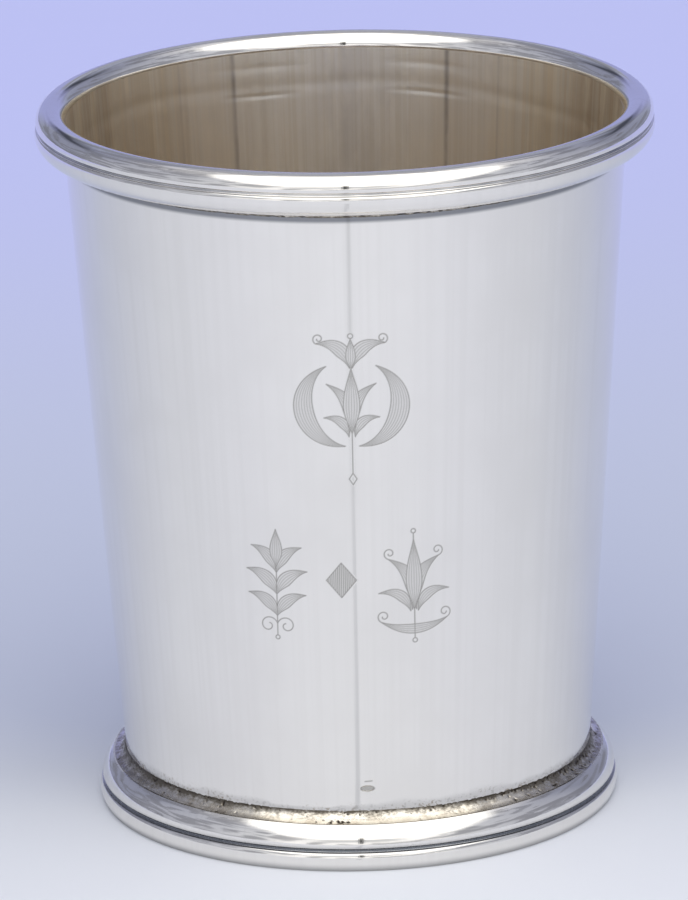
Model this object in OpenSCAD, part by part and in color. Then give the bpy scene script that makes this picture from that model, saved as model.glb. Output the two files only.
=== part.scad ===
// Silver julep cup: a tapered beaker of sheet silver with a let-in bottom,
// a moulded rim soldered over its top edge and a moulded foot soldered round its base.
// Millimetres, Z up. The origin is on the cup's axis, on the table that it stands on.

/* [Cup] */

// Height of the whole cup, from the table to the top of the rim
cup_h = 95.6; // [80:0.2:115]
// Outer diameter of the wall at its top edge, inside the rim
mouth_d = 74.6; // [68:0.2:84]
// Outer diameter of the wall at its bottom edge, inside the foot
base_d = 62; // [54:0.2:66]
// Thickness of the sheet that the wall is made of
wall_t = 0.5; // [0.3:0.05:1]
// Height of the wall's bottom edge above the table
wall_foot_z = 2; // [1:0.1:2.6]

/* [Rim moulding] */

// How far the rim stands out past the wall's top edge
rim_w = 3.65; // [2.8:0.05:4.6]
// Height of the rim moulding, from its flat underside to the top of its bead
rim_h = 5.6; // [4.8:0.1:7]
// Radius of the round bead along the top of the rim
rim_bead_r = 2; // [1.7:0.05:2.4]
// Radius of the rounded band under the bead
rim_band_r = 2.2; // [1.8:0.05:2.6]
// Radius of the fine round groove between bead and band
rim_groove_r = 0.26; // [0.15:0.01:0.4]

/* [Foot moulding] */

// How far the foot's lower bead stands out past the wall's bottom edge
foot_w = 3.95; // [3.2:0.05:5]
// Height of the foot moulding, from the table to its flat top
foot_h = 5.9; // [5:0.1:7]
// How far the flange stands in from the lower bead
foot_flange_inset = 0.35; // [0:0.05:0.8]
// Height above the table at which the flange is widest
foot_flange_z = 3; // [2.6:0.1:3.6]
// Radius of the flange's rounded side
foot_flange_r = 3.6; // [3:0.1:4.5]
// Height above the table at which the lower bead is widest
foot_bead_z = 1.45; // [1.1:0.05:1.8]
// Radius of the lower bead's rounded side
foot_bead_r = 2.6; // [2:0.1:3.2]
// Radius of the round groove between flange and bead
foot_groove_r = 0.28; // [0.15:0.01:0.4]

/* [Bottom] */

// Height of the bottom disc's underside above the table
bottom_z = 3.8; // [3:0.1:8]
// Thickness of the bottom disc
bottom_t = 0.6; // [0.4:0.05:1.2]

/* [Solder] */

// Height of the solder fillet up the wall above the foot
foot_solder_h = 1.4; // [0.8:0.1:2.4]
// Width of the solder fillet over the foot's flat top
foot_solder_w = 1.6; // [0.8:0.1:1.8]
// Height and width of the fillet in the corner under the rim
rim_solder_w = 0.8; // [0.5:0.05:1]
// Height and width of the fillet in the corner under the bottom disc
bottom_solder_w = 0.8; // [0.3:0.1:1]
// Thickness of the solder at the edges of a fillet
solder_edge = 0.12; // [0.08:0.01:0.2]
// Radius of the foot fillet's hollow face, as a share of the face's width
solder_hollow_share = 1.3; // [0.8:0.1:3]

/* [Hidden] */

$fn = 180;

// How far a cut runs past the face that it opens
overrun = 1;

silver = [0.86, 0.86, 0.88];
silver_inside = [0.74, 0.72, 0.68];
solder = [0.62, 0.57, 0.46];

// The wall's outer face is a cone: its radius at the two edges, and at any height
mouth_r = mouth_d / 2;
base_r = base_d / 2;
wall_top_z = cup_h - rim_bead_r;
wall_slope = (mouth_r - base_r) / (wall_top_z - wall_foot_z);
function wall_outer(z) = base_r + (z - wall_foot_z) * wall_slope;
function wall_inner(z) = wall_outer(z) - wall_t;

// Rim: the bead's centre is over the wall's inner edge by the bead's radius, so that the
// bead meets the wall's inner face flush
rim_r = mouth_r + rim_w;
rim_ledge_z = cup_h - rim_h;
rim_bead_c = [wall_inner(wall_top_z) + rim_bead_r, wall_top_z];
rim_band_c = [rim_r - rim_band_r, rim_ledge_z + rim_band_r];

// Foot: flange and lower bead are round-sided bands, one above the other
foot_r = base_r + foot_w;
foot_flange_c = [foot_r - foot_flange_inset - foot_flange_r, foot_flange_z];
foot_bead_c = [foot_r - foot_bead_r, foot_bead_z];

// The outer point where two circles cross, from the lower one's centre and radius and
// the upper one's
function crossing(c1, r1, c2, r2) =
    let (
        gap = norm(c2 - c1),
        along = (c2 - c1) / gap,
        outward = [along[1], -along[0]],
        reach = (gap * gap + r1 * r1 - r2 * r2) / (2 * gap)
    )
    c1 + along * reach + outward * sqrt(r1 * r1 - reach * reach);

// The centre of the circle of radius r through points a and b that lies away from corner
function hollow_centre(a, b, corner, r) =
    let (
        mid = (a + b) / 2,
        across = [a[1] - b[1], b[0] - a[0]] / norm(b - a),
        away = across * (mid - corner) > 0 ? across : -across,
        half = norm(b - a) / 2
    )
    mid + away * sqrt(r * r - half * half);

// Everything inside the wall's outer face, up to its top edge, and the bore below it
module wall_space() {
    polygon([
        [0, -overrun],
        [base_r, -overrun],
        [base_r, wall_foot_z],
        [mouth_r, wall_top_z],
        [0, wall_top_z]
    ]);
}

// What lies between two heights, as far out as radius r
module between(z0, z1, r) {
    intersection() {
        translate([0, z0]) square([r, z1 - z0]);
        children();
    }
}

// The points where the two thin edges of a fillet of solder begin its free face
function fillet_face(on_wall, on_ledge) =
    let (outer = [on_ledge[0], on_wall[1]])
    [
        on_wall + (outer - on_wall) * solder_edge / norm(outer - on_wall),
        on_ledge + (outer - on_ledge) * solder_edge / norm(outer - on_ledge)
    ];

// A narrow fillet of solder in a corner, with a straight face
module fillet(corner, on_wall, on_ledge) {
    face = fillet_face(on_wall, on_ledge);
    polygon([corner, on_wall, face[0], face[1], on_ledge]);
}

// A wide fillet of solder in a corner, with a hollow face
module hollow_fillet(corner, on_wall, on_ledge) {
    face = fillet_face(on_wall, on_ledge);
    hollow_r = norm(face[1] - face[0]) * solder_hollow_share;
    difference() {
        polygon([corner, on_wall, [on_ledge[0], on_wall[1]], on_ledge]);
        translate(hollow_centre(face[0], face[1], corner, hollow_r)) circle(hollow_r);
    }
}

// The tapered wall, one thin cone open at both ends
module body_wall() {
    color(silver)
    rotate_extrude()
    polygon([
        [wall_inner(wall_foot_z), wall_foot_z],
        [wall_outer(wall_foot_z), wall_foot_z],
        [wall_outer(wall_top_z), wall_top_z],
        [wall_inner(wall_top_z), wall_top_z]
    ]);
}

// The flat bottom, let into the wall a little above the table, with its edge on the
// wall's inner face
module bottom_disc() {
    top_z = bottom_z + bottom_t;
    color(silver_inside)
    rotate_extrude()
    polygon([
        [0, bottom_z],
        [wall_inner(bottom_z), bottom_z],
        [wall_inner(top_z), top_z],
        [0, top_z]
    ]);
}

// The rim: a bead that caps the wall's top edge, over a rounded band that goes in to the
// wall at a flat underside, with a fine groove where the two meet
module rim_moulding() {
    color(silver)
    rotate_extrude()
    difference() {
        union() {
            translate(rim_bead_c) circle(rim_bead_r);
            translate(rim_band_c) circle(rim_band_r);
            translate([mouth_r - rim_w, rim_ledge_z])
            square([rim_band_c[0] - mouth_r + rim_w, wall_top_z - rim_ledge_z]);
        }
        wall_space();
        translate(crossing(rim_band_c, rim_band_r, rim_bead_c, rim_bead_r))
        circle(rim_groove_r);
    }
}

// The foot: a round-sided flange over a lower bead that stands on the table, with a
// groove between them, bored to fit round the wall
module foot_moulding() {
    color(silver)
    rotate_extrude()
    difference() {
        between(0, foot_h, foot_r + overrun)
        union() {
            translate(foot_flange_c) circle(foot_flange_r);
            translate(foot_bead_c) circle(foot_bead_r);
            square([foot_flange_c[0], foot_h]);
            square([foot_bead_c[0], foot_bead_z]);
        }
        wall_space();
        translate(crossing(foot_bead_c, foot_bead_r, foot_flange_c, foot_flange_r))
        circle(foot_groove_r);
    }
}

// Solder in the corner between the wall and the rim's flat underside
module rim_solder() {
    low_z = rim_ledge_z - rim_solder_w;
    color(solder)
    rotate_extrude()
    fillet(
        [wall_outer(rim_ledge_z), rim_ledge_z],
        [wall_outer(low_z), low_z],
        [wall_outer(rim_ledge_z) + rim_solder_w, rim_ledge_z]
    );
}

// Solder in the corner between the wall and the foot's flat top, the widest seam
module foot_solder() {
    high_z = foot_h + foot_solder_h;
    color(solder)
    rotate_extrude()
    hollow_fillet(
        [wall_outer(foot_h), foot_h],
        [wall_outer(high_z), high_z],
        [wall_outer(foot_h) + foot_solder_w, foot_h]
    );
}

// Solder in the corner between the wall's inner face and the bottom disc's underside
module bottom_solder() {
    low_z = bottom_z - bottom_solder_w;
    color(solder)
    rotate_extrude()
    fillet(
        [wall_inner(bottom_z), bottom_z],
        [wall_inner(low_z), low_z],
        [wall_inner(bottom_z) - bottom_solder_w, bottom_z]
    );
}

body_wall();
bottom_disc();
rim_moulding();
foot_moulding();
rim_solder();
foot_solder();
bottom_solder();
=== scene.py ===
"""A hand-made silver julep cup: high-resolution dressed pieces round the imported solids.

Lengths of the pieces are millimetres until a mesh or an object is made, where MM turns
them into metres; materials, tent and camera are in metres. Angles round the cup start at
the front, -Y, and grow towards +X.
"""

import math

import bpy
import numpy as np
from mathutils import Matrix, Vector, noise


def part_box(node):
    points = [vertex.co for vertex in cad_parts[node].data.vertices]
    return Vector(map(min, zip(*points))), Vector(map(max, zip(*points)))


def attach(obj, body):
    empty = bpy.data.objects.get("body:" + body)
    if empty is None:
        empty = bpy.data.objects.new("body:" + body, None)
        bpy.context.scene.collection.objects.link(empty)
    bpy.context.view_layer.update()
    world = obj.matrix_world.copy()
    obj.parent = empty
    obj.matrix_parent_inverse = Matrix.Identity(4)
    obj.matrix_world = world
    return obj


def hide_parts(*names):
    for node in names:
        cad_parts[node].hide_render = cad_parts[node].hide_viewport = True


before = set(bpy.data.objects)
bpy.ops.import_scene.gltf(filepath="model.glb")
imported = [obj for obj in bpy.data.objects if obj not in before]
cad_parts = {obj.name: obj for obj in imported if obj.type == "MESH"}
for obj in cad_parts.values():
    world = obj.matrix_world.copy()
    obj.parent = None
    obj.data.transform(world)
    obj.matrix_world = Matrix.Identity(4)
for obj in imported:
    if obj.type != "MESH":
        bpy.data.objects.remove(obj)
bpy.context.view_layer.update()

MM = 0.001


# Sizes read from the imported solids

def node_size(name):
    """Outer radius, lowest and highest z of a node, in millimetres."""
    low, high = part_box(name)
    return high.x / MM, low.z / MM, high.z / MM


MOUTH_R, WALL_FOOT_Z, WALL_TOP_Z = node_size("body_wall")
RIM_R, RIM_LEDGE_Z, _ = node_size("rim_moulding")
FOOT_R, FOOT_LOW_Z, FOOT_H = node_size("foot_moulding")
_, DISC_LOW_Z, DISC_TOP_Z = node_size("bottom_disc")
FOOT_SOLDER_R, _, FOOT_SOLDER_TOP_Z = node_size("foot_solder")
RIM_SOLDER_R, RIM_SOLDER_LOW_Z, _ = node_size("rim_solder")
_, BOTTOM_SOLDER_LOW_Z, _ = node_size("bottom_solder")

# Sizes that a box can't show, the same as the solids'
BASE_R = 31.0
WALL_T = 0.5
RIM_BEAD_R = 2.0
RIM_BAND_R = 2.2
RIM_GROOVE_R = 0.26
FOOT_BEAD_R = 2.6
FOOT_BEAD_Z = 1.45
FOOT_FLANGE_R = 3.6
FOOT_FLANGE_Z = 3.0
FOOT_FLANGE_INSET = 0.35
FOOT_GROOVE_R = 0.28

WALL_SLOPE = (MOUTH_R - BASE_R) / (WALL_TOP_Z - WALL_FOOT_Z)


def wall_outer(z):
    return BASE_R + (z - WALL_FOOT_Z) * WALL_SLOPE


def wall_inner(z):
    return wall_outer(z) - WALL_T


# The mouldings' round bands: centre and radius
RIM_BEAD = ((wall_inner(WALL_TOP_Z) + RIM_BEAD_R, WALL_TOP_Z), RIM_BEAD_R)
RIM_BAND = ((RIM_R - RIM_BAND_R, RIM_LEDGE_Z + RIM_BAND_R), RIM_BAND_R)
FOOT_FLANGE = ((FOOT_R - FOOT_FLANGE_INSET - FOOT_FLANGE_R, FOOT_FLANGE_Z), FOOT_FLANGE_R)
FOOT_BEAD = ((FOOT_R - FOOT_BEAD_R, FOOT_BEAD_Z), FOOT_BEAD_R)


# Outlines: lists of (radius, z) points

ARC_STEP = math.radians(4)


def on_circle(centre, radius, angle):
    return centre[0] + radius * math.cos(angle), centre[1] + radius * math.sin(angle)


def arc(centre, radius, start, end):
    """Points on a circle from one angle to another, in radians, both ends included."""
    steps = max(2, math.ceil(abs(end - start) / ARC_STEP))
    angles = [start + (end - start) * i / steps for i in range(steps + 1)]
    return [on_circle(centre, radius, a) for a in angles]


def line(a, b, steps):
    """Points from a up to, but not including, b."""
    return [(a[0] + (b[0] - a[0]) * i / steps, a[1] + (b[1] - a[1]) * i / steps)
            for i in range(steps)]


def crossings(c1, r1, c2, r2):
    """The two points where two circles cross, the lower one first."""
    gap = math.dist(c1, c2)
    along = ((c2[0] - c1[0]) / gap, (c2[1] - c1[1]) / gap)
    reach = (gap * gap + r1 * r1 - r2 * r2) / (2 * gap)
    half = math.sqrt(r1 * r1 - reach * reach)
    foot = (c1[0] + along[0] * reach, c1[1] + along[1] * reach)
    points = [(foot[0] + s * along[1] * half, foot[1] - s * along[0] * half) for s in (1, -1)]
    return sorted(points, key=lambda p: p[1])


def outer_crossing(low, high):
    return max(crossings(*low, *high))


def angle_at(centre, point):
    return math.atan2(point[1] - centre[1], point[0] - centre[0])


def rounded(start, corner, end, steps=6):
    """Points between start and end on the curve that rounds off the corner."""
    points = []
    for i in range(1, steps):
        t = i / steps
        shares = ((1 - t) ** 2, 2 * t * (1 - t), t * t)
        points.append(tuple(sum(s * p[k] for s, p in zip(shares, (start, corner, end)))
                            for k in (0, 1)))
    return points


# How far the rubbed lip of a groove reaches over the band below it, over the band above
# it and into the groove
LOW_LIP, HIGH_LIP, GROOVE_LIP = 0.30, 0.14, 0.12


def grooved_side(low, low_start, high, high_end, groove_r):
    """A round band, a round groove with rubbed lips where it meets the one above, and that
    band."""
    (low_c, low_r), (high_c, high_r) = low, high
    groove_c = outer_crossing(low, high)
    into = crossings(groove_c, groove_r, low_c, low_r)[0]
    out = crossings(groove_c, groove_r, high_c, high_r)[1]
    low_end = angle_at(low_c, into) - LOW_LIP / low_r
    high_start = angle_at(high_c, out) + HIGH_LIP / high_r
    groove_start = angle_at(groove_c, into) % (2 * math.pi) - GROOVE_LIP / groove_r
    groove_end = angle_at(groove_c, out) % (2 * math.pi) + GROOVE_LIP / groove_r
    groove = arc(groove_c, groove_r, groove_start, groove_end)
    return (
        arc(low_c, low_r, low_start, low_end)
        + rounded(on_circle(low_c, low_r, low_end), into, groove[0])
        + groove
        + rounded(groove[-1], out, on_circle(high_c, high_r, high_start))
        + arc(high_c, high_r, high_start, high_end)
    )


def rim_outline():
    inner = (wall_outer(RIM_LEDGE_Z), RIM_LEDGE_Z)
    return (
        line(inner, (RIM_R - RIM_BAND_R, RIM_LEDGE_Z), 3)
        + grooved_side(RIM_BAND, -math.pi / 2, RIM_BEAD, math.pi, RIM_GROOVE_R)
        + line((MOUTH_R, WALL_TOP_Z), inner, 3)
    )


def foot_outline():
    bead_start = -math.asin(FOOT_BEAD_Z / FOOT_BEAD_R)
    flange_end = math.asin((FOOT_H - FOOT_FLANGE_Z) / FOOT_FLANGE_R)
    side = grooved_side(FOOT_BEAD, bead_start, FOOT_FLANGE, flange_end, FOOT_GROOVE_R)
    return (
        line((BASE_R, FOOT_LOW_Z), side[0], 3)
        + side
        + line((wall_outer(FOOT_H), FOOT_H), (BASE_R, WALL_FOOT_Z), 3)
        + [(BASE_R, WALL_FOOT_Z)]
    )


# Meshes

def mesh_object(name, verts, faces, materials, slots=None):
    mesh = bpy.data.meshes.new(name)
    mesh.from_pydata([tuple(v) for v in np.asarray(verts) * MM], [], faces)
    for material in materials:
        mesh.materials.append(material)
    if slots is not None:
        mesh.polygons.foreach_set("material_index", slots)
    mesh.polygons.foreach_set("use_smooth", [True] * len(mesh.polygons))
    mesh.update()
    obj = bpy.data.objects.new(name, mesh)
    bpy.context.scene.collection.objects.link(obj)
    return obj


def around(r, angle):
    """x, y of a point at radius r and angle round the cup."""
    return r * np.sin(angle), -r * np.cos(angle)


SHARP_ANGLE = math.radians(38)


def lathe(name, outline, segments, materials, wobble=None):
    """A closed outline turned round the axis. wobble(r, z, angle) gives moved r and z."""
    outline = np.array(outline)
    angles = np.arange(segments) * 2 * math.pi / segments
    r, angle = np.meshgrid(outline[:, 0], angles)
    z, _ = np.meshgrid(outline[:, 1], angles)
    if wobble:
        r, z = wobble(r, z, angle)
    x, y = around(r, angle)
    verts = np.stack([x, y, z], -1).reshape(-1, 3)
    count = len(outline)
    faces = []
    for i in range(segments):
        here, there = i * count, (i + 1) % segments * count
        for j in range(count):
            k = (j + 1) % count
            faces.append((here + j, there + j, there + k, here + k))
    obj = mesh_object(name, verts, faces, materials)
    obj.data.set_sharp_from_angle(angle=SHARP_ANGLE)
    return obj


def waves(angle, seed, periods, size):
    """A smooth closed waviness round the cup: sines of whole numbers of periods."""
    rng = np.random.default_rng(seed)
    total = np.zeros_like(angle)
    for period in periods:
        total += np.sin(period * angle + rng.uniform(0, 2 * math.pi)) * rng.uniform(0.5, 1)
    return total * size / len(periods)


# Materials

class Build:
    """The node tree that new nodes go into."""
    tree = None


def open_tree(owner):
    """Start to build the nodes of a material or a world."""
    owner.use_nodes = True
    Build.tree = owner.node_tree
    return Build.tree.nodes


def new_material(name, metallic=0.0, roughness=0.5):
    material = bpy.data.materials.new(name)
    shader = open_tree(material)["Principled BSDF"]
    shader.inputs["Metallic"].default_value = metallic
    shader.inputs["Roughness"].default_value = roughness
    return material, shader


def feed(socket, value):
    """Give a socket a number, a colour or another socket's output."""
    if isinstance(value, tuple):
        socket.default_value = (*value, 1)
    elif isinstance(value, (int, float)):
        socket.default_value = value
    else:
        Build.tree.links.new(value, socket)


def new_node(kind, *values, operation=None, **inputs):
    """A shader node with its inputs fed, in order or by name, with _ for a space."""
    node = Build.tree.nodes.new("ShaderNode" + kind)
    if operation:
        node.operation = operation
    for socket, value in zip(node.inputs, values):
        feed(socket, value)
    for name, value in inputs.items():
        feed(node.inputs[name.replace("_", " ")], value)
    return node


def position():
    """The place of a point on its object, in metres."""
    return new_node("TexCoord").outputs["Object"]


def split(vector):
    """The x, y and z of a vector."""
    return new_node("SeparateXYZ", vector).outputs


def join(*values):
    """A vector from x, y and z, each a number or a socket."""
    return new_node("CombineXYZ", *values).outputs["Vector"]


def vector_node(operation, *vectors, **inputs):
    node = new_node("VectorMath", *vectors, operation=operation, **inputs)
    return node.outputs["Vector"]


def scaled(vector, factor):
    """A vector or a colour times a number or a socket."""
    return vector_node("SCALE", vector, Scale=factor)


def stretched(vector, scale):
    node = new_node("Mapping", vector)
    node.inputs["Scale"].default_value = scale
    return node.outputs["Vector"]


def maths(operation, *values):
    return new_node("Math", *values, operation=operation).outputs["Value"]


def chained(operation, result, *others):
    for value in others:
        result = maths(operation, result, value)
    return result


def product(*factors):
    return chained("MULTIPLY", *factors)


def added(*terms):
    return chained("ADD", *terms)


def ramp(source, low, high, out_low=0.0, out_high=1.0):
    """A smooth step from out_low at low to out_high at high."""
    node = new_node("MapRange", Value=source, From_Min=low, From_Max=high,
                    To_Min=out_low, To_Max=out_high)
    node.interpolation_type = "SMOOTHSTEP"
    return node.outputs["Result"]


def band(value, centre, flat, fade):
    """1 within flat of centre, falling smoothly to 0 at fade."""
    away = maths("ABSOLUTE", maths("SUBTRACT", value, centre))
    return ramp(away, flat, fade, 1, 0)


def noise_node(vector, scale, detail, roughness=0.5, distortion=0.0):
    return new_node("TexNoise", Vector=vector, Scale=scale, Detail=detail,
                    Roughness=roughness, Distortion=distortion).outputs["Fac"]


def noise_value(scale, stretch=(1, 1, 1), detail=3.0):
    return noise_node(stretched(position(), stretch), scale, detail, 0.55)


def upright_noise(across, up, detail=2.0):
    """Noise that runs straight up a tapered wall: across features per metre round a circle
    of 1 m radius, and up features per metre of height."""
    x, y, z = split(position())
    outward = vector_node("NORMALIZE", join(x, y, 0.0))
    height = join(0.0, 0.0, product(z, up))
    place = vector_node("ADD", scaled(outward, across), height)
    return noise_node(place, 1.0, detail)


def colour_stops(factor, stops):
    """Colours that follow factor from 0 to 1; stops are pairs of a place and a colour."""
    node = new_node("ValToRGB", factor)
    elements = node.color_ramp.elements
    while len(elements) < len(stops):
        elements.new(0.5)
    for element, (place, colour) in zip(elements, stops):
        element.position = place
        element.color = (*colour, 1)
    return node.outputs["Color"]


def mix(factor, a, b, kind="RGBA"):
    """From a to b by factor; kind is RGBA for colours and FLOAT for numbers."""
    node = new_node("Mix")
    node.data_type = kind
    for socket, value in zip([s for s in node.inputs if s.enabled], (factor, a, b)):
        feed(socket, value)
    return [s for s in node.outputs if s.enabled][0]


def layered(base, *layers):
    """Layers of colour over base, each a pair of its share and its colour."""
    for share, colour in layers:
        base = mix(share, base, colour)
    return base


def attribute(name):
    node = new_node("Attribute")
    node.attribute_name = name
    return node.outputs["Fac"]


def finished(material, shader, colour, roughness, height, relief):
    """A material with its colour, its roughness and a bump of relief metres by height."""
    feed(shader.inputs["Base Color"], colour)
    feed(shader.inputs["Roughness"], roughness)
    node = new_node("Bump", Height=height, Distance=relief)
    feed(shader.inputs["Normal"], node.outputs["Normal"])
    return material


SILVER = (0.89, 0.865, 0.82)
WORN_SILVER = (0.855, 0.83, 0.785)
HAZE = (0.40, 0.39, 0.375)
DIRT_AND_SHADE = (0.36, 0.30, 0.22)
GROOVE_SHADE = (0.17, 0.18, 0.20)
CUT_DARK = (0.24, 0.23, 0.20)
FLOOR_SHADE_SILVER = (0.36, 0.36, 0.36)
INNER_SILVER = (0.96, 0.95, 0.93)
INNER_WARM = (0.94, 0.90, 0.825)
INNER_BESIDE = (0.955, 0.91, 0.82)
INNER_SIDE_SHADE = (0.64, 0.54, 0.43)
INNER_GOLD = (0.93, 0.85, 0.71)
INNER_BRUSHED = (0.80, 0.765, 0.69)
INNER_STREAK = (0.74, 0.64, 0.50)
INNER_DARK_REFLECTION = (0.50, 0.48, 0.47)
INNER_GLINT = (1.0, 0.96, 0.88)
SOLDER = (0.78, 0.73, 0.64)
SOLDER_WARM = (0.62, 0.56, 0.47)
SOLDER_TARNISH_AND_SHADE = (0.17, 0.15, 0.12)
SOLDER_PIT = (0.05, 0.04, 0.03)

# Long painted dark reflections and shade on the inner face: bearing from straight behind,
# half-width, both in radians, and darkness
DARK_REFLECTIONS = (
    (-0.424, 0.016, 0.90),
    (0.394, 0.016, 0.90),
    (0.000, 0.022, 0.30),
    (0.000, 0.260, 0.45),
    (-0.655, 0.010, 0.30),
    (0.610, 0.010, 0.30),
)

# Where the wall darkens: just under the rim with painted shade, and above the solder
# round the foot with dirt that polishing doesn't reach
UNDER_RIM_DARK_Z = (RIM_LEDGE_Z - 1.75) * MM
UNDER_RIM_DARKEST_Z = (RIM_LEDGE_Z - 1.15) * MM
ABOVE_FOOT_DARK_Z = (FOOT_SOLDER_TOP_Z + 1.5) * MM
ABOVE_FOOT_DARKEST_Z = (FOOT_SOLDER_TOP_Z - 0.1) * MM
HAZE_TOP_Z = (FOOT_SOLDER_TOP_Z + 2.2) * MM
# Up to here the foot's lower bead is darkened with painted shade, the floor's shadow that it
# reflects
FLOOR_SHADE_Z = 1.2 * MM


def polished_silver():
    """Bright silver with soft upright streaks, dark in its cuts, with painted shade in its
    grooves and corners and low on the foot.
    """
    material, shader = new_material("polished_silver", metallic=1)
    streaks = upright_noise(38, 9, detail=3)
    clouds = noise_value(90.0)
    specks = ramp(noise_value(2600.0, detail=2), 0.52, 0.66)
    cut = attribute("cut")
    # groove: painted shade in the grooves of the mouldings and at the rim's ledge
    groove = attribute("groove")
    _, _, z = split(position())
    over_foot = maths("GREATER_THAN", z, FOOT_H * MM)

    # painted shade in the corner just under the rim's ledge
    under_rim_shade = product(ramp(z, UNDER_RIM_DARK_Z, UNDER_RIM_DARKEST_Z, 0, 0.85),
                        maths("LESS_THAN", z, RIM_LEDGE_Z * MM))
    dirt = ramp(noise_value(260.0, (1, 1, 2.5), detail=5), 0.44, 0.62)
    above_foot = product(ramp(z, ABOVE_FOOT_DARKEST_Z, ABOVE_FOOT_DARK_Z, 1, 0), over_foot, dirt)
    # dirt above the solder, and painted shade on the foot's top beside the solder
    grime_and_shade = maths("MAXIMUM", attribute("grime_and_shade"), above_foot)
    # painted shade: the foot darkens towards the floor
    floor_shade = ramp(z, 0.0, FLOOR_SHADE_Z, 0.75, 0)
    # haze from the solder up the wall, higher in some places than in others
    reach = ramp(noise_value(75.0, (1, 1, 0.2), detail=4), 0.38, 0.62, 0.2, 1.0)
    rise = ramp(z, FOOT_SOLDER_TOP_Z * MM, HAZE_TOP_Z)
    fade = ramp(maths("DIVIDE", rise, reach), 0, 1, 0.75, 0)
    haze = product(over_foot, fade, ramp(specks, 0, 1, 0.55, 1))

    base = layered(
        SILVER,
        (ramp(clouds, 0.35, 0.75), WORN_SILVER),
        (ramp(streaks, 0.40, 0.70, 0, 0.8), WORN_SILVER),
        (haze, HAZE),
        (product(grime_and_shade, specks), DIRT_AND_SHADE),
        (maths("MAXIMUM", groove, under_rim_shade), GROOVE_SHADE),
        (cut, CUT_DARK),
        (floor_shade, FLOOR_SHADE_SILVER),
    )
    rough = ramp(streaks, 0.3, 0.7, 0.05, 0.09)
    for extra, share in ((grime_and_shade, 0.2), (groove, 0.2), (cut, 0.2), (floor_shade, 0.2), (haze, 0.1)):
        rough = added(rough, product(extra, share))
    return finished(material, shader, base, rough, streaks, relief=4e-6)


def inner_silver():
    """The inside: duller and warmer, with brushed streaks, upright on the wall and without
    direction on the bottom, painted shade and warm painted reflection towards the sides,
    painted glints, and a few long painted dark reflections on the wall."""
    material, shader = new_material("inner_silver", metallic=1)
    x, y, z = split(position())
    on_wall = maths("GREATER_THAN", z, (DISC_TOP_Z + 0.1) * MM)
    bearing = maths("ARCTAN2", x, y)
    beside = product(maths("ABSOLUTE", bearing), on_wall)

    brushed = mix(on_wall, noise_value(420.0, detail=4), upright_noise(26, 6, detail=3), "FLOAT")
    fine = mix(on_wall, noise_value(1300.0), upright_noise(80, 14), "FLOAT")
    bands = mix(on_wall, noise_value(90.0), upright_noise(5, 12), "FLOAT")
    streaks = upright_noise(38, 8, detail=3)
    clouds = noise_value(55.0, (1, 1, 0.6), detail=4)
    patches = upright_noise(10, 55, detail=4)
    uneven = ramp(noise_value(330.0, (1, 1, 0.4), detail=3), 0.35, 0.62, 0.5, 1.0)

    # painted glints: a lighter patchy band to each side of the back
    rubbed = band(beside, 0.44, 0.10, 0.30)
    # painted dark reflections of the tent's seams and the camera's opening, and painted shade
    # down the middle of the back
    dark_reflections = [
        (product(band(bearing, place, 0, half_width), uneven, on_wall, dark), INNER_DARK_REFLECTION)
        for place, half_width, dark in DARK_REFLECTIONS
    ]
    base = layered(
        INNER_SILVER,
        (ramp(z, 0.030, 0.092, 1, 0), INNER_WARM),
        (ramp(clouds, 0.40, 0.75, 0, 0.6), INNER_WARM),
        # painted shade and warm painted reflection by the bearing round the cup, heavier towards
        # the sides
        (ramp(beside, 0.3, 0.9), INNER_BESIDE),
        (ramp(beside, 0.70, 1.20), INNER_SIDE_SHADE),
        (product(ramp(patches, 0.46, 0.58), ramp(beside, 0.25, 0.6), 0.8), INNER_GOLD),
        (ramp(brushed, 0.42, 0.62, 0, 0.36), INNER_BRUSHED),
        (ramp(fine, 0.42, 0.58, 0, 0.5), INNER_BRUSHED),
        (ramp(bands, 0.50, 0.70, 0, 0.2), INNER_BRUSHED),
        (product(ramp(streaks, 0.44, 0.58), ramp(beside, 0.35, 0.8), 0.35), INNER_STREAK),
        (product(rubbed, ramp(patches, 0.40, 0.55, 0.5, 1.0), 0.6), INNER_GLINT),
        *dark_reflections
    )
    rough = ramp(brushed, 0.35, 0.7, 0.28, 0.33)
    return finished(material, shader, base, rough, brushed, relief=6e-6)


def silver_solder():
    """Silver solder: pale and smooth where rubbed, brown and tarnished along its edge and in its
    pits, and darker to the sides with painted shade.
    """
    material, shader = new_material("silver_solder", metallic=1)
    pits = attribute("pits")
    grain = noise_value(2400.0, (1, 1, 1.6), detail=3)
    blotch = noise_value(520.0, detail=4)
    mottle = added(ramp(grain, 0.3, 0.7, -0.25, 0.25), ramp(blotch, 0.35, 0.65, -0.15, 0.15))
    edge = ramp(added(attribute("tarnish_and_shade"), mottle), 0.1, 1.1)
    base = layered(SOLDER, (ramp(blotch, 0.4, 0.7), SOLDER_WARM),
                   (edge, SOLDER_TARNISH_AND_SHADE), (pits, SOLDER_PIT))
    pitted = product(maths("MAXIMUM", pits, edge), 0.25)
    rough = added(ramp(grain, 0.3, 0.7, 0.14, 0.24), pitted)
    return finished(material, shader, base, rough, grain, relief=1e-5)


polished = polished_silver()
inner = inner_silver()
solder = silver_solder()


def set_attribute(obj, name, values):
    data = obj.data.attributes.new(name, "FLOAT", "POINT")
    data.data.foreach_set("value", np.asarray(values, dtype=np.float32))


def read_all(elements, key, kind, size=1):
    """One property of all elements of a mesh."""
    values = np.zeros(len(elements) * size, dtype=kind)
    elements.foreach_get(key, values)
    return values


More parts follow.
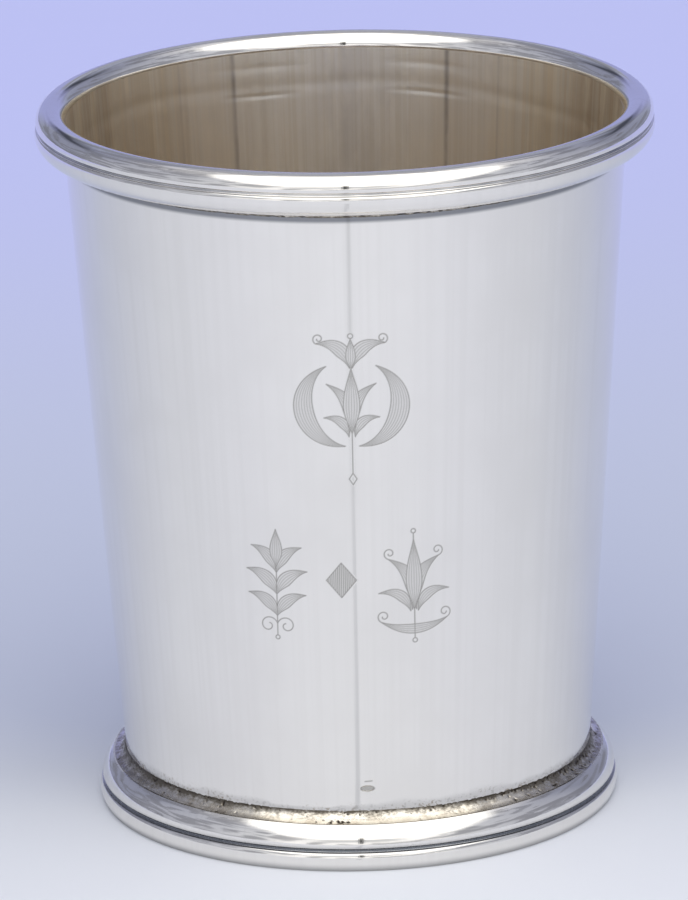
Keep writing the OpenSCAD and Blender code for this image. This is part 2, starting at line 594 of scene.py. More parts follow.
def vertex_array(obj):
    """Radius, z and angle of each vertex, in millimetres and radians."""
    co = read_all(obj.data.vertices, "co", float, 3).reshape(-1, 3) / MM
    return np.hypot(co[:, 0], co[:, 1]), co[:, 2], np.arctan2(co[:, 0], -co[:, 1])


def near(distance, reach):
    """1 at no distance, falling smoothly to 0 at reach."""
    t = np.clip(1 - np.abs(distance) / reach, 0, 1)
    return t * t * (3 - 2 * t)


def patchy(angle, seed, low, high):
    """A share between low and high that varies round the cup."""
    swing = waves(angle, seed, (7, 13, 23, 41, 67), 2.2).clip(-1, 1)
    return low + (high - low) * (0.5 + 0.5 * swing)


# Engraving: strokes on the wall, in millimetres across (u) and up (v)

# Half-width of a cut line
LINE_W = 0.07
# Darkness of the ground inside a stroke and of a cut line
RIBBON_TONE, LINE_TONE = 0.19, 0.82
# Depth of the lines inside a stroke, as a share of the two that outline it
SHADING_DEPTH = 0.68
# How far in from a stroke's side the grey between its lines is full
GROUND_FADE = 0.15


class Stroke:
    """A curve with a half-width at each point, cut as lines that run along it."""

    def __init__(self, points, half_widths, lines):
        self.points = np.array(points, dtype=float)
        self.half_widths = np.array(half_widths, dtype=float)
        self.lines = lines

    def moved(self, du, dv, mirror=False):
        points = self.points * ((-1, 1) if mirror else (1, 1)) + (du, dv)
        return Stroke(points, self.half_widths, self.lines)

    def mark(self, u, v):
        """How deep the lines are and how grey the ground between them is, from 0 to 1, and
        where the stroke hides those cut before it."""
        margin = self.half_widths.max() + 2 * LINE_W
        low = self.points.min(0) - margin
        high = self.points.max(0) + margin
        inside = (u > low[0]) & (u < high[0]) & (v > low[1]) & (v < high[1])
        out, ground, cover = np.zeros_like(u), np.zeros_like(u), np.zeros(u.shape, bool)
        if not inside.any():
            return out, ground, cover
        p = np.stack([u[inside], v[inside]], -1)
        best = np.full(len(p), np.inf)
        offset, width = np.zeros(len(p)), np.zeros(len(p))
        for i, (start, end) in enumerate(zip(self.points[:-1], self.points[1:])):
            along = end - start
            t = ((p - start) @ along / (along @ along)).clip(0, 1)
            away = p - (start + t[:, None] * along)
            d = np.hypot(away[:, 0], away[:, 1])
            side = np.sign(along[0] * away[:, 1] - along[1] * away[:, 0])
            closer = d < best
            best = np.where(closer, d, best)
            offset = np.where(closer, d * side, offset)
            w = self.half_widths[i] + t * (self.half_widths[i + 1] - self.half_widths[i])
            width = np.where(closer, w, width)
        depth = np.zeros(len(p))
        shares = np.linspace(-1, 1, self.lines) if self.lines > 1 else [0]
        for i, share in enumerate(shares):
            strength = 1 if i in (0, self.lines - 1) else SHADING_DEPTH
            depth = np.maximum(depth, strength * near(offset - share * width, 2 * LINE_W))
        out[inside] = depth
        ground[inside] = RIBBON_TONE * ((width - best) / GROUND_FADE).clip(0, 1)
        cover[inside] = best < width
        return out, ground, cover


def swell(count, thick, peak_share=0.5):
    """Half-widths that grow from nothing to thick and back along a stroke."""
    t = np.linspace(0, 1, count)
    rise = np.where(t < peak_share, t / peak_share, (1 - t) / (1 - peak_share))
    return thick * np.sin(rise * math.pi / 2) ** 1.2


def polar(centre, radius, angle):
    """Points round a centre."""
    return np.stack([centre[0] + radius * np.cos(angle), centre[1] + radius * np.sin(angle)], -1)


def arc_stroke(centre, radius, start, end, thick, lines, count=40):
    angles = np.radians(np.linspace(start, end, count))
    return Stroke(polar(centre, radius, angles), swell(count, thick), lines)


def curl(start, radius, bearing, turns, end_share=0.25, count=40):
    """A hairline that winds in from start to a small eye; bearing is start's own, in
    degrees, as seen from the eye."""
    t = np.linspace(0, 1, count)
    a = np.radians(bearing + turns * 360 * t)
    centre = start - polar((0, 0), radius, a[0])
    return Stroke(polar(centre, radius * (1 - (1 - end_share) * t), a), np.zeros(count), 1)


def leaf(base, tip, thick, bend=0.0, lines=6, peak_share=0.42, count=24):
    """A pointed leaf from base to tip, bent to one side, cut with lines along it."""
    base, tip = np.array(base, float), np.array(tip, float)
    t = np.linspace(0, 1, count)[:, None]
    side = np.array([base[1] - tip[1], tip[0] - base[0]])
    points = base + (tip - base) * t + side * bend * (t * (1 - t) * 4)
    return Stroke(points, swell(count, thick, peak_share), lines)


def hairline(*points):
    return Stroke(points, [0] * len(points), 1)


def ring(centre, radius):
    return curl((centre[0] + radius, centre[1]), radius, 0, 1, end_share=1, count=16)


def both_sides(strokes):
    return strokes + [s.moved(0, 0, mirror=True) for s in strokes]


def large_ornament():
    """A wreath of two broad crescents round a palmette, on a long hairline stem."""
    side = [
        arc_stroke((-0.5, -0.9), 5.8, 266, 118, 1.25, 8),
        leaf((-0.2, 4.0), (-4.5, 7.3), 0.90, -0.24, 6),
        curl((-4.5, 7.3), 0.75, 240, -1.15),
        leaf((-0.4, -5.4), (-3.6, -2.8), 0.60, -0.24, 5),
        leaf((-0.4, -4.9), (-3.2, 1.8), 0.85, -0.20, 6),
    ]
    middle = [
        leaf((0, -5.0), (0, 4.0), 1.05, 0, 7),
        leaf((0, 3.8), (0, 8.0), 0.62, 0, 5),
        ring((0, 8.33), 0.33),
        hairline((0, -5.0), (0, -10.4)),
        hairline((0, -10.4), (0.5, -11.2), (0, -12.0), (-0.5, -11.2), (0, -10.4)),
    ]
    return both_sides(side) + middle


def tall_sprig():
    """An upright ear of paired leaves on one stem, with a curl to each side of its foot."""
    pairs = [
        leaf((0, -4.2), (-3.9, -1.2), 0.78, -0.17),
        leaf((0, -1.2), (-4.1, 2.1), 0.86, -0.17),
        leaf((0, 1.8), (-3.4, 5.4), 0.78, -0.17),
        curl((0, -5.3), 1.25, 12, 1.15),
    ]
    middle = [
        leaf((0, 2.6), (0, 7.8), 0.80, 0),
        hairline((0, -6.9), (0, 2.6)),
        ring((0, -7.2), 0.28),
    ]
    return both_sides(pairs) + middle


def wide_palmette():
    """A bud between spreading leaves, over a swelling bar that curls up at both ends."""
    side = [
        leaf((-0.3, -3.4), (-3.4, 3.8), 1.00, -0.20, 7),
        leaf((-0.5, -3.6), (-4.7, -0.9), 0.66, -0.24, 5),
        curl((-3.4, 3.8), 0.8, 255, -1.15),
        curl((-4.45, -4.91), 0.85, 245, -1.15),
    ]
    middle = [
        leaf((0, -3.4), (0, 6.3), 1.05, 0, 7),
        hairline((0, 6.3), (0, 7.2)),
        ring((0, 7.5), 0.3),
        arc_stroke((0, 2.8), 8.9, 240, 300, 0.62, 5),
        hairline((0, -3.4), (0, -7.4)),
        ring((0, -7.7), 0.3),
    ]
    return both_sides(side) + middle


def lozenge(half_w, half_h):
    """A diamond filled with close upright lines inside its outline."""
    corners = [(0, half_h), (half_w, 0), (0, -half_h), (-half_w, 0), (0, half_h)]
    strokes = [hairline(*corners)]
    for share in np.linspace(-0.88, 0.88, 15):
        reach = half_h * (1 - abs(share))
        strokes.append(hairline((share * half_w, -reach), (share * half_w, reach)))
    return strokes


def placed(strokes, u, v):
    return [s.moved(u, v) for s in strokes]


# A tiny blank punch mark low on the wall
PUNCH_U, PUNCH_V = 1.1, 10.4
PUNCH_HALF_W, PUNCH_HALF_H = 0.85, 0.38
PUNCH_DEPTH = 0.09

ENGRAVING = (
    placed(large_ornament(), 0.1, 64.9)
    + placed(tall_sprig(), -10.3, 38.7)
    + placed(wide_palmette(), 7.8, 38.6)
    + placed(lozenge(1.95, 2.4), -1.7, 39.7)
    + [hairline((PUNCH_U - 0.3, PUNCH_V + 1.0), (PUNCH_U + 0.6, PUNCH_V + 1.05))]
)
CUT_DEPTH = 0.04


def wall_relief(u, v):
    """Depth of the surface below the plain wall, and how dark it is, at each point."""
    cut, ground = np.zeros_like(u), np.zeros_like(u)
    for stroke in ENGRAVING:
        lines, between, cover = stroke.mark(u, v)
        cut = np.where(cover, lines, np.maximum(cut, lines))
        ground = np.where(cover, between, np.maximum(ground, between))
    punch = np.hypot((u - PUNCH_U) / PUNCH_HALF_W, (v - PUNCH_V) / PUNCH_HALF_H)
    dent = np.clip((1.15 - punch) / 0.3, 0, 1)
    edge = near(punch - 1, 0.30)
    dark = np.maximum.reduce([LINE_TONE * cut, ground, 0.85 * edge, 0.6 * (punch < 1)])
    return cut * CUT_DEPTH + dent * PUNCH_DEPTH, dark


# The wall: a grid of cells, the engraved ones finely divided

COLUMNS = 240
ROWS = 100
FINE = 10
FINE_COLUMNS, FINE_ROWS = COLUMNS * FINE, ROWS * FINE
STEP_A = 2 * math.pi / FINE_COLUMNS
STEP_Z = (WALL_TOP_Z - WALL_FOOT_Z) / FINE_ROWS
# How far the engraving reaches to each side of the front
WINDOW_ANGLE = math.radians(25.5)
# A cell is divided where its relief in millimetres or its darkness is more than this
LEAST_RELIEF, LEAST_DARK = 1e-4, 1e-3
# Waviness of the outer and the inner face
OUTER_WAVE, INNER_WAVE = 0.006, 0.010
# A faint ring that the raising hammer left round the inner face, and the rows that draw it
INNER_RING_Z, INNER_RING_HALF, INNER_RING_DEPTH = 88.5, 0.9, 0.024
INNER_ROWS, INNER_RING_ROWS, INNER_RING_REACH = 40, 44, 3.9
# Two short dents to each side of the back: height above the ring, half-height and depth,
# and the half-width in radians
DENT_BEARING = 2.82
DENTS = (
    (-1.2, 0.32, 0.036, 0.20),
    (2.7, 0.50, 0.022, 0.24),
)
# What each face of the wall belongs to
OUTER_ZONE, INNER_ZONE, LOW_EDGE_ZONE, HIGH_EDGE_ZONE = range(4)


def fine_grid(columns):
    """Angle and height of the fine grid's points in some of its columns."""
    heights = WALL_FOOT_Z + np.arange(FINE_ROWS + 1) * STEP_Z
    return np.meshgrid(columns * STEP_A, heights, indexing="ij")


def engraved_grid():
    """Depth and darkness at each point of the fine grid, and which cells are engraved."""
    cells = int(WINDOW_ANGLE / STEP_A / FINE)
    window = np.arange(-cells * FINE, cells * FINE + 1)
    angle, z = fine_grid(window)
    depth, dark = wall_relief(angle * wall_outer(z), z)
    used = (depth > LEAST_RELIEF) | (dark > LEAST_DARK)
    engraved = np.zeros((COLUMNS, ROWS), bool)
    for i in range(2 * cells):
        for j in range(ROWS):
            cell = used[i * FINE:(i + 1) * FINE + 1, j * FINE:(j + 1) * FINE + 1]
            engraved[(i - cells) % COLUMNS, j] = cell.any()
    full_depth = np.zeros((FINE_COLUMNS, FINE_ROWS + 1))
    full_dark = np.zeros_like(full_depth)
    full_depth[window % FINE_COLUMNS] = depth
    full_dark[window % FINE_COLUMNS] = dark
    return full_depth, full_dark, engraved


def point_numbers(engraved):
    """The numbers of the fine grid's points: -1 for those that no face uses."""
    needed = np.zeros((FINE_COLUMNS, FINE_ROWS + 1), bool)
    needed[::FINE, ::FINE] = True
    for i, j in zip(*np.nonzero(engraved)):
        span = np.arange(i * FINE, (i + 1) * FINE + 1) % FINE_COLUMNS
        needed[span, j * FINE:(j + 1) * FINE + 1] = True
    index = np.full(needed.shape, -1)
    index[needed] = np.arange(needed.sum())
    return index


def unevenness(angle, z):
    """A faint upright waviness, as a planished wall has."""
    drift = np.sin(z * 0.045 + 3 * np.sin(angle * 3))
    return OUTER_WAVE * (waves(angle, 11, (5, 9, 14, 22, 31, 47), 2.0) + 0.35 * drift)


def unit(vectors):
    return vectors / np.linalg.norm(vectors, axis=1)[:, None]


def outer_points(depth, index):
    """Points and normals of the outer face."""
    column, row = np.nonzero(index >= 0)
    angle = (column * STEP_A + math.pi) % (2 * math.pi) - math.pi
    all_a, all_z = fine_grid(np.arange(FINE_COLUMNS))
    height = unevenness(all_a, all_z) - depth
    step = 2 * STEP_A * wall_outer(all_z)
    slope_a = ((np.roll(height, -1, 0) - np.roll(height, 1, 0)) / step)[column, row]
    slope_z = np.gradient(height, STEP_Z, axis=1)[column, row]
    x, y = around((wall_outer(all_z) + height)[column, row], angle)
    normals = np.stack([
        np.sin(angle) - slope_a * np.cos(angle),
        -np.cos(angle) - slope_a * np.sin(angle),
        -WALL_SLOPE - slope_z
    ], -1)
    return np.stack([x, y, WALL_FOOT_Z + row * STEP_Z], -1), unit(normals)


def outer_faces(index, engraved):
    """Small squares in the engraved cells, and one face in each other cell, with the points
    of its engraved neighbours on its sides."""
    faces = []
    for i in range(COLUMNS):
        i0, i1 = i * FINE, (i + 1) * FINE
        for j in range(ROWS):
            j0, j1 = j * FINE, (j + 1) * FINE
            if engraved[i, j]:
                for a in range(i0, i1):
                    p, q = index[a], index[(a + 1) % FINE_COLUMNS]
                    faces += [(p[c], q[c], q[c + 1], p[c + 1]) for c in range(j0, j1)]
                continue
            low = 1 if j > 0 and engraved[i, j - 1] else FINE
            high = 1 if j < ROWS - 1 and engraved[i, j + 1] else FINE
            right = 1 if engraved[(i + 1) % COLUMNS, j] else FINE
            left = 1 if engraved[i - 1, j] else FINE
            loop = [(a, j0) for a in range(i0, i1, low)]
            loop += [(i1, c) for c in range(j0, j1, right)]
            loop += [(a, j1) for a in range(i1, i0, -high)]
            loop += [(i0, c) for c in range(j1, j0, -left)]
            faces.append(tuple(index[a % FINE_COLUMNS, c] for a, c in loop))
    return faces


def inner_points():
    """Points and normals of the inner face, with its ring and dents, as a grid of coarse
    columns and its own rows."""
    rows = np.union1d(
        np.linspace(WALL_FOOT_Z, WALL_TOP_Z, INNER_ROWS + 1),
        INNER_RING_Z + np.linspace(-INNER_RING_REACH, INNER_RING_REACH, INNER_RING_ROWS)
    )
    angle, z = np.meshgrid(np.arange(COLUMNS) * 2 * math.pi / COLUMNS, rows, indexing="ij")
    ring_z = INNER_RING_Z + 0.7 * np.sin(angle * 2 + 0.6) + 0.4 * np.sin(angle * 5)
    depth = INNER_RING_DEPTH * np.exp(-((z - ring_z) / INNER_RING_HALF) ** 2)
    aside = np.abs(np.abs(np.angle(np.exp(1j * angle))) - DENT_BEARING)
    for above, half_height, dent_depth, half_width in DENTS:
        level = np.exp(-((z - ring_z - above) / half_height) ** 2)
        depth += dent_depth * level * near(aside, half_width)
    wave = INNER_WAVE * waves(angle, 23, (4, 7, 12, 19), 1.5)
    x, y = around(wall_inner(z) + wave + depth, angle)
    slope = WALL_SLOPE + np.gradient(depth, rows, axis=1)
    normals = np.stack([-np.sin(angle), np.cos(angle), slope], -1).reshape(-1, 3)
    return np.stack([x, y, z], -1), unit(normals)


def wall_piece():
    """The wall's outer face with its engraving, its inner face and its two edges."""
    depth, dark, engraved = engraved_grid()
    index = point_numbers(engraved)
    outer, outer_normals = outer_points(depth, index)
    inside, inner_normals = inner_points()
    dark = np.concatenate([dark[index >= 0], np.zeros(len(inner_normals))])

    faces = outer_faces(index, engraved)
    zones = [OUTER_ZONE] * len(faces)
    # the inner face and the edges share the outer face's coarse columns
    inner_id = len(outer) + np.arange(len(inner_normals)).reshape(inside.shape[:2])
    last = inner_id.shape[1] - 1
    for i in range(COLUMNS):
        n = (i + 1) % COLUMNS
        for j in range(last):
            faces.append((inner_id[i, j], inner_id[i, j + 1], inner_id[n, j + 1], inner_id[n, j]))
            zones.append(INNER_ZONE)
    for i in range(COLUMNS):
        n = (i + 1) % COLUMNS
        low = (index[i * FINE, 0], index[n * FINE, 0])
        high = (index[i * FINE, FINE_ROWS], index[n * FINE, FINE_ROWS])
        faces.append((low[1], low[0], inner_id[i, 0], inner_id[n, 0]))
        faces.append((high[0], high[1], inner_id[n, last], inner_id[i, last]))
        zones += [LOW_EDGE_ZONE, HIGH_EDGE_ZONE]

    slots = [int(zone == INNER_ZONE) for zone in zones]
    faces = [tuple(int(v) for v in face) for face in faces]
    verts = np.concatenate([outer, inside.reshape(-1, 3)])
    obj = mesh_object("wall_engraved", verts, faces, [polished, inner], slots)
    set_attribute(obj, "cut", dark)

    loops = read_all(obj.data.loops, "vertex_index", int)
    loop_zone = np.repeat(zones, read_all(obj.data.polygons, "loop_total", int))
    loop_normals = np.concatenate([outer_normals, inner_normals])[loops]
    loop_normals[loop_zone == LOW_EDGE_ZONE] = (0, 0, -1)
    loop_normals[loop_zone == HIGH_EDGE_ZONE] = (0, 0, 1)
    obj.data.normals_split_custom_set(loop_normals.tolist())
    return obj


# Mouldings, solder and bottom

MOULDING_SEGMENTS = 480
# How far the drawn wires stand inside the solids, to leave room for their waviness
WIRE_INSET = 0.03


def drawn_wire(name, outline, least_r, least_z, seed, rise, drop=0.0):
    """A moulding of drawn and bent wire, slightly wavy outside least_r and above least_z;
    rise is the waviness's share up and down, and drop an even step down."""
    def wobble(r, z, angle):
        wavy = (r > least_r) & (z > least_z)
        lift = waves(angle, seed, (2, 3, 5, 8, 13, 21, 34), 0.035)
        return (r + np.where(wavy, lift * 0.6 - WIRE_INSET, 0),
                z + np.where(wavy, lift * rise - drop, 0))

    obj = lathe(name, outline, MOULDING_SEGMENTS, [polished], wobble)
    return obj, *vertex_array(obj)


def rim_piece():
    obj, radius, z, angle = drawn_wire(
        "rim_turned", rim_outline(), MOUTH_R + 0.2, RIM_LEDGE_Z + 0.2, 5, rise=0.4, drop=0.02
    )
    groove_z = outer_crossing(RIM_BAND, RIM_BEAD)[1]
    in_groove = near(z - groove_z, RIM_GROOVE_R * 1.1) * (radius > MOUTH_R + 1)
    at_ledge = near(z - RIM_LEDGE_Z, 0.3)
    # painted shade in the groove, patchy and stronger to the sides where it reflects the darker
    # tent, and at the ledge under the rim
    dark = in_groove * (patchy(angle, 41, 0.3, 0.6) + 0.5 * np.sin(angle) ** 2)
    set_attribute(obj, "groove", np.maximum(dark, 0.9 * at_ledge).clip(0, 1))
    return obj


def foot_piece():
    obj, radius, z, angle = drawn_wire(
        "foot_turned", foot_outline(), BASE_R + 1.5, FOOT_LOW_Z + 0.3, 6, rise=0.3
    )
    groove_z = outer_crossing(FOOT_BEAD, FOOT_FLANGE)[1]
    in_groove = near(z - groove_z - 0.06, FOOT_GROOVE_R * 1.8) * (radius > BASE_R + 2)
    # painted shade on the foot's top next to the solder, stronger to the sides where it reflects
    # the darker tent
    at_top = near(z - FOOT_H, 0.3) * np.abs(np.sin(angle))
    # painted shade in the groove, patchy round the foot
    set_attribute(obj, "groove", (1.7 * in_groove * patchy(angle, 43, 0.8, 1.0)).clip(0, 1))
    set_attribute(obj, "grime_and_shade", at_top * patchy(angle, 44, 0.1, 0.6))
    return obj


def fillet_outline(corner, start, end, hollow, steps):
    """A fillet's section: the corner, then a face from start to end, drawn in towards the
    corner by the share hollow of its distance."""
    pull = [(s + e) / 2 + hollow * (2 * c - s - e) for c, s, e in zip(corner, start, end)]
    return [corner, start] + rounded(start, pull, end, steps) + [end]


def solder_fillet(name, wall, ledge_z, wall_z, edge_r, hollow, lump, pit, seed, steps=6,
                  segments=480, edge_lift=0.0, wall_first=True, seam_dark=0.0):
    """A fillet of solder in the corner where the wall meets a ledge, along the wall as far
    as wall_z and along the ledge as far as edge_r, with soft lumps, and pits and a tarnished
    edge where it meets the wall, with painted shade that darkens it to the sides; seam_dark
    is how dark its very edge on the wall is."""
    corner = (wall(ledge_z), ledge_z)
    ends = [(wall(wall_z), wall_z), (edge_r, ledge_z + edge_lift)]
    if not wall_first:
        ends.reverse()
    marks = {}

    def wobble(r, z, angle):
        along = np.concatenate([[0], np.arange(steps + 1) / steps])
        if not wall_first:
            along = 1 - along
        x, y = around(r, angle)
        shift, pits = np.zeros_like(r), np.zeros_like(r)
        for i in range(r.shape[0]):
            for j in range(1, r.shape[1]):
                p = Vector((x[i, j], y[i, j], z[i, j] + seed))
                coarse = noise.noise(p * 0.35)
                medium = noise.noise(p * 1.1 + Vector((7, 3, 1)))
                small = noise.noise(p * 2.6 + Vector((1, 9, 4)))
                zone = noise.noise(Vector((x[i, j] * 0.12, y[i, j] * 0.12, seed)))
                near_wall = max(0.0, 1 - along[j] / 0.45)
                level = 0.45 * medium + 0.75 * small + 0.30 * near_wall + 0.5 * zone - 0.42
                pits[i, j] = min(1.0, max(0.0, level / 0.10))
                shift[i, j] = lump * (coarse + 0.4 * medium) - pit * pits[i, j]
        ragged = patchy(angle, seed + 50, 0.45, 0.80)
        # painted shade: the solder darkens to the sides, where it reflects the darker tent
        side_shade = 0.45 * near(1 - np.abs(np.sin(angle)), 0.95)
        marks["tarnish_and_shade"] = 0.95 * np.clip(1 - along / ragged, 0, 1) ** 1.2 + side_shade
        seam = np.clip(2.0 - along / 0.09, 0, 1) * patchy(angle, seed + 60, 0.3, 1.0)
        # painted shade also darkens the seam to the sides
        seam = seam_dark * seam * (0.6 + 0.4 * np.abs(np.sin(angle)))
        marks["pits"] = np.maximum(pits, seam)
        out_r, out_z = r - corner[0], z - corner[1]
        length = np.hypot(out_r, out_z)
        length[length == 0] = 1
        shift[:, 0] = 0
        return r + shift * out_r / length, z + shift * out_z / length

    outline = fillet_outline(corner, *ends, hollow, steps)
    obj = lathe(name, outline, segments, [solder], wobble)
    for mark, values in marks.items():
        set_attribute(obj, mark, values.reshape(-1))
    return obj


def foot_solder_piece():
    return solder_fillet(
        "foot_solder_rubbed", wall_outer, FOOT_H, FOOT_SOLDER_TOP_Z, FOOT_SOLDER_R,
        hollow=0.30, lump=0.05, pit=0.12, seed=3, steps=14, segments=1200, edge_lift=0.02,
        seam_dark=0.9
    )


def rim_solder_piece():
    return solder_fillet(
        "rim_solder_rubbed", wall_outer, RIM_LEDGE_Z, RIM_SOLDER_LOW_Z, RIM_SOLDER_R,
        hollow=0.15, lump=0.04, pit=0.08, seed=13, wall_first=False
    )


def bottom_solder_piece():
    edge_r = wall_inner(DISC_LOW_Z) - (DISC_LOW_Z - BOTTOM_SOLDER_LOW_Z)
    return solder_fillet(
        "bottom_solder_rubbed", wall_inner, DISC_LOW_Z, BOTTOM_SOLDER_LOW_Z, edge_r,
        hollow=0.10, lump=0.05, pit=0.10, seed=23
    )


DISC_RINGS, DISC_SEGMENTS = 40, 240
DISH_DEPTH = 0.05


def disc_piece():
    """The let-in bottom, very slightly dished and uneven, as a hammered disc is."""
    verts, faces = [], []
    for level in (DISC_TOP_Z, DISC_LOW_Z):
        edge_r = wall_inner(level)
        centre = len(verts)
        verts.append((0, 0, level))
        for k in range(1, DISC_RINGS + 1):
            r = edge_r * k / DISC_RINGS
            for i in range(DISC_SEGMENTS):
                x, y = around(r, 2 * math.pi * i / DISC_SEGMENTS)
                ease = 1 - (r / edge_r) ** 4
                dish = DISH_DEPTH * ease * noise.noise(Vector((x * 0.09, y * 0.09, level)))
                verts.append((x, y, level + dish))
        for k in range(DISC_RINGS):
            for i in range(DISC_SEGMENTS):
                first = centre + 1 + k * DISC_SEGMENTS
                outer = (first + i, first + (i + 1) % DISC_SEGMENTS)
                if k == 0:
                    face = (centre, *outer)
                else:
                    face = (outer[0] - DISC_SEGMENTS, *outer, outer[1] - DISC_SEGMENTS)
                faces.append(face if level == DISC_TOP_Z else face[::-1])
    # the edge, between the last rings of the two sides
    last_low = len(verts) - DISC_SEGMENTS
    last_top = last_low - len(verts) // 2
    for i in range(DISC_SEGMENTS):
        n = (i + 1) % DISC_SEGMENTS
        faces.append((last_low + i, last_low + n, last_top + n, last_top + i))
    obj = mesh_object("bottom_dished", verts, faces, [inner])
    obj.data.set_sharp_from_angle(angle=SHARP_ANGLE)
    return obj


PIECES = [
    (wall_piece, "body_wall", "polished_silver"),
    (disc_piece, "bottom_disc", "inner_silver"),
    (rim_piece, "rim_moulding", "polished_silver"),
    (foot_piece, "foot_moulding", "polished_silver"),
    (rim_solder_piece, "rim_solder", "silver_solder"),
    (foot_solder_piece, "foot_solder", "silver_solder"),
    (bottom_solder_piece, "bottom_solder", "silver_solder"),
]
for make, node, slot in PIECES:
    piece = make()
    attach(piece, "root")
    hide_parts(node)


# Stage: floor, light tent and camera

# The camera that a fit to the photograph's rim, wall and foot gave
CAMERA_DISTANCE = 1.0
CAMERA_ELEVATION = math.radians(16.5443546)
CAMERA_PITCH = math.radians(-0.149432731)
CAMERA_YAW = math.radians(-0.0594092948)
CAMERA_ROLL = math.radians(-1.24723134)
SENSOR = 36.0
FOCAL_LENGTH = 299.6841928
LOOK_HEIGHT = 0.05

# Floor colours by the bearing from the cup, painted light in front and painted shade
# beside and behind: 0 is straight behind, 0.5 beside, 1 in front
FLOOR_COLOURS = (
    (0.0, (0.54, 0.58, 0.74)),
    (0.2, (0.56, 0.60, 0.74)),
    (0.4, (0.63, 0.66, 0.75)),
    (0.6, (0.72, 0.745, 0.81)),
    (0.875, (0.77, 0.79, 0.85)),
    (1.0, (0.82, 0.84, 0.89)),
)
FLOOR_FAR = (0.535, 0.56, 0.90)
PAINTED_FRONT_LIGHT = 1.06
FLOOR_HALF = 3000
# The floor lies this little under the cup, so that the two don't share a plane
FLOOR_Z = -0.02
JOINT_NEAR = (0.64, 0.66, 0.71)
JOINT_FAR = (0.68, 0.70, 0.74)


def floor_material():
    """Pale paper with painted light and shade round the cup: near white before it, cooler and
    a little darker beside and behind, and a little lighter further out.
    """
    material, shader = new_material("pale_floor", roughness=0.9)
    shader.inputs["Specular IOR Level"].default_value = 0.1
    x, y, _ = split(position())
    reach = maths("SQRT", added(product(x, x), product(y, y)))
    bearing = maths("DIVIDE", product(y, -1), reach)
    plain = colour_stops(maths("MULTIPLY_ADD", bearing, 0.5, 0.5), FLOOR_COLOURS)
    # painted light: the floor a little lighter further out from the cup
    lifted = scaled(plain, ramp(reach, 0.07, 0.22, 1, PAINTED_FRONT_LIGHT))
    colour = layered(
        plain,
        (ramp(bearing, 0.2, 0.9), lifted),
        (ramp(y, 0.10, 0.40), FLOOR_FAR),
    )
    feed(shader.inputs["Base Color"], colour)
    return material


def sheet(name, corners, material):
    """A flat sheet of paper on the stage."""
    obj = mesh_object(name, corners, [(0, 1, 2, 3)], [material])
    return obj


def add_floor():
    half = FLOOR_HALF
    corners = [(-half, -half, 0), (half, -half, 0), (half, half, 0), (-half, half, 0)]
    floor = sheet("floor", corners, floor_material())
    floor.location.z = FLOOR_Z * MM


def add_paper_joint():
    """The lapped joint of the floor paper in front of the cup, which the wall shows as a
    faint upright line."""
    near_y, far_y = -45, -300
    near_x, far_x = -0.6, 2.6
    near_half, far_half = 0.6, 3.6
    height = 0.1
    corners = [(near_x - near_half, near_y, height), (far_x - far_half, far_y, height),
               (far_x + far_half, far_y, height), (near_x + near_half, near_y, height)]
    material, shader = new_material("paper_joint", roughness=0.9)
    _, y, _ = split(position())
    colour = mix(ramp(y, -0.20, near_y * MM), JOINT_FAR, JOINT_NEAR)
    feed(shader.inputs["Base Color"], colour)
    joint = sheet("paper_joint", corners, material)
    joint.visible_camera = False
    joint.visible_diffuse = False
    joint.visible_shadow = False


# The tent's cloth by the bearing from the cup: 0 is straight in front, 0.5 beside and 1
# straight behind
TENT_CLOTH = (
    (0.00, (1.10, 1.10, 1.13)),
    (0.16, (1.10, 1.10, 1.13)),
    (0.25, (0.74, 0.76, 0.82)),
    (0.36, (0.58, 0.60, 0.68)),
    (0.50, (0.46, 0.48, 0.57)),
    (0.60, (0.39, 0.41, 0.51)),
    (0.68, (0.27, 0.29, 0.39)),
    (0.80, (0.27, 0.29, 0.41)),
    (0.90, (0.33, 0.36, 0.49)),
    (1.00, (0.50, 0.53, 0.66)),
)
TENT_TOP = (1.0, 1.0, 1.04)
TENT_FOLD = (0.16, 0.165, 0.20)
PANEL = (1.78, 1.78, 1.78)
TENT_BACK = (0.36, 0.385, 0.70)
TENT_SEAM = (0.055, 0.06, 0.085)
TENT_SLIT = (0.74, 0.75, 0.78)
TENT_OPENING = (0.03, 0.03, 0.03)
# The seam behind the cup sags: its height straight behind, and its rise to the sides
SEAM_HEIGHT, SEAM_RISE = 0.285, 0.45


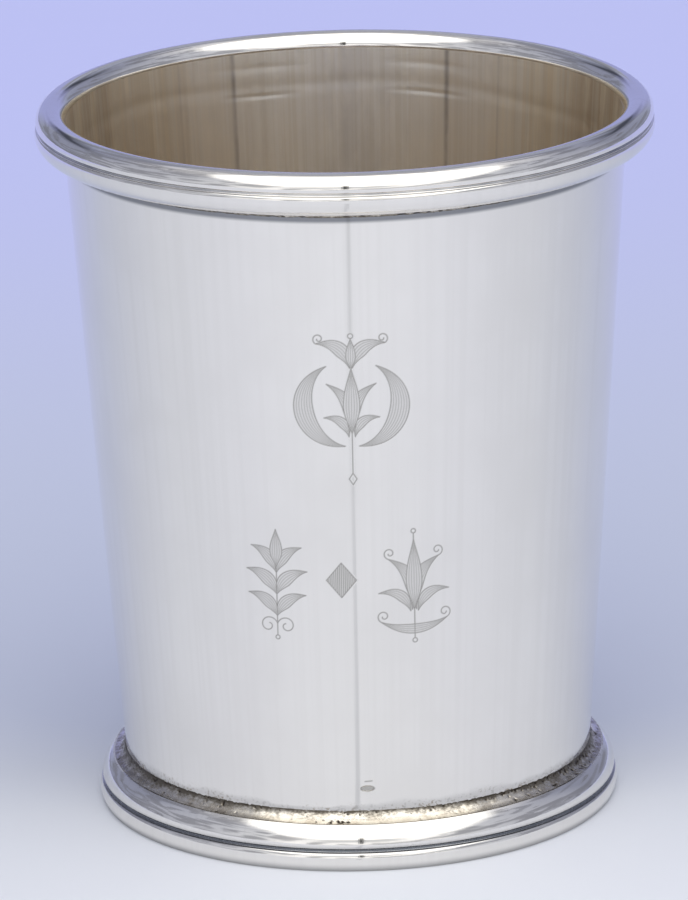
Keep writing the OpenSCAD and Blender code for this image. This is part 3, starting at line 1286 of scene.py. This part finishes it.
def add_world():
    """A light tent: a soft white panel from overhead down to the front, folded cloth that
    darkens towards the back, lavender paper behind under a dark sagging seam, and in
    front the upright opening for the camera."""
    world = bpy.data.worlds.new("light_tent")
    bpy.context.scene.world = world
    background = open_tree(world)["Background"]
    direction = new_node("TexCoord").outputs["Generated"]
    x, y, z = split(direction)
    # how far aside, in front and level with the cup a direction points
    aside = maths("ABSOLUTE", x)
    front = product(y, -1)
    level = maths("SQRT", maths("SUBTRACT", 1.0, product(z, z)))
    bearing = maths("DIVIDE", maths("ARCTAN2", aside, front), math.pi)

    folds = noise_node(stretched(direction, (0.6, 0.6, 1.1)), 2.8, 1, distortion=2.2)
    fold = ramp(folds, 0.42, 0.60, 0, 0.6)
    crease = product(band(folds, 0.5, 0.002, 0.016), ramp(bearing, 0.30, 0.50), 0.85)

    # above this slanting edge is the panel
    slant = added(z, product(level, -1.9), product(front, 1.58), product(x, 0.25))

    behind = product(ramp(bearing, 0.72, 0.84), ramp(bearing, 0.96, 0.91))
    before = ramp(bearing, 0.5, 0.45)
    camera_height = math.sin(CAMERA_ELEVATION)
    seam = maths("SUBTRACT", z, product(aside, SEAM_RISE))
    top = ramp(z, 0.52, 1.0)
    colour = layered(
        colour_stops(bearing, TENT_CLOTH),
        (product(top, top), TENT_TOP),
        (fold, TENT_FOLD),
        (crease, TENT_FOLD),
        (product(ramp(bearing, 0.84, 0.93),
                 ramp(seam, SEAM_HEIGHT - 0.02, SEAM_HEIGHT + 0.02, 1, 0)), TENT_BACK),
        (product(behind, band(seam, SEAM_HEIGHT, 0.04, 0.16), 0.6), TENT_SEAM),
        (product(behind, band(seam, SEAM_HEIGHT, 0.02, 0.05), 0.9), TENT_SEAM),
        (ramp(slant, -0.30, 0.10), PANEL),
        (product(before, band(z, camera_height, 0.05, 0.14), band(x, 0, 0.20, 0.45)), TENT_SLIT),
        (product(before, band(z, camera_height, 0.16, 0.24), band(x, 0, 0.010, 0.028)),
         TENT_OPENING),
    )
    to_camera = new_node("LightPath").outputs["Is Camera Ray"]
    colour = mix(to_camera, colour, FLOOR_FAR)
    feed(background.inputs["Color"], colour)
    background.inputs["Strength"].default_value = 1.0


def turned(a, b, angle):
    """Two crossed directions, turned so that a goes towards b."""
    cos, sin = math.cos(angle), math.sin(angle)
    return a * cos + b * sin, b * cos - a * sin


def add_camera():
    cos_e, sin_e = math.cos(CAMERA_ELEVATION), math.sin(CAMERA_ELEVATION)
    place = Vector((0, -CAMERA_DISTANCE * cos_e, LOOK_HEIGHT + CAMERA_DISTANCE * sin_e))
    ahead, right = turned(Vector((0, cos_e, -sin_e)), Vector((1, 0, 0)), CAMERA_YAW)
    ahead, up = turned(ahead, Vector((0, sin_e, cos_e)), CAMERA_PITCH)
    right, up = turned(right, up, CAMERA_ROLL)
    camera = bpy.data.cameras.new("camera")
    camera.sensor_width = SENSOR
    camera.lens = FOCAL_LENGTH
    camera.clip_end = 20
    obj = bpy.data.objects.new("camera", camera)
    rotation = Matrix((right, up, -ahead)).transposed().to_4x4()
    obj.matrix_world = Matrix.Translation(place) @ rotation
    bpy.context.scene.collection.objects.link(obj)
    bpy.context.scene.camera = obj


add_floor()
add_paper_joint()
add_world()
add_camera()

scene = bpy.context.scene
scene.view_settings.view_transform = "Standard"
scene.cycles.glossy_bounces = 10
